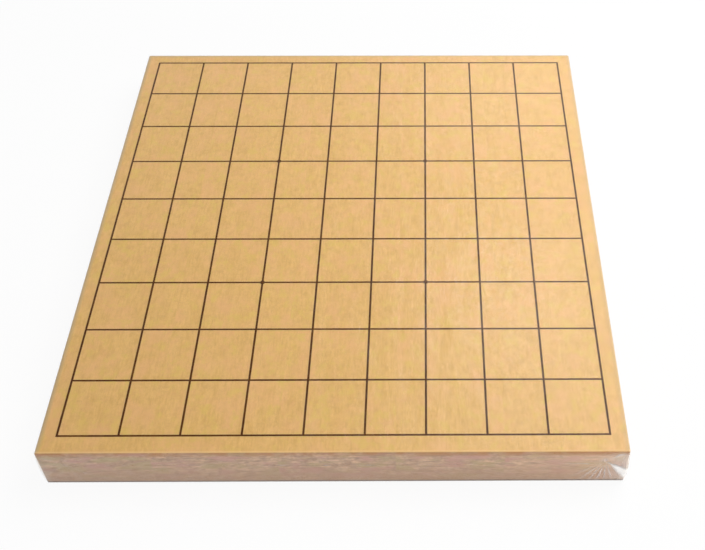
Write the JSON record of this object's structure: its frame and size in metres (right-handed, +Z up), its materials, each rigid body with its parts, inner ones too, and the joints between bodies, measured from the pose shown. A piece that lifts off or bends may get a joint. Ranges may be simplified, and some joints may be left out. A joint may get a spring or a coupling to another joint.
{
  "type": "shogi board",
  "caption": "Flat wooden tabletop board of edge-glued staves, with a ruled grid of squares and star points in raised ink on the playing face.",
  "frame": {"origin": "on the surface that the board lies on, under the middle of the board", "axes": "+X to the player's right, +Y away from the player along the board's length, +Z up out of the playing face"},
  "size_m": [0.3332, 0.3636, 0.0312],
  "materials": {
    "board_wood": "satin",
    "ruling_ink": "satin",
    "shrink_film": "gloss"
  },
  "bodies": {
    "root": {"stave_1": "board_wood", "stave_2": "board_wood", "stave_3": "board_wood", "stave_4": "board_wood", "stave_5": "board_wood", "ruled_grid": "ruling_ink", "star_point_near_left": "ruling_ink", "star_point_near_right": "ruling_ink", "star_point_far_left": "ruling_ink", "star_point_far_right": "ruling_ink"}
  },
  "joints": []
}
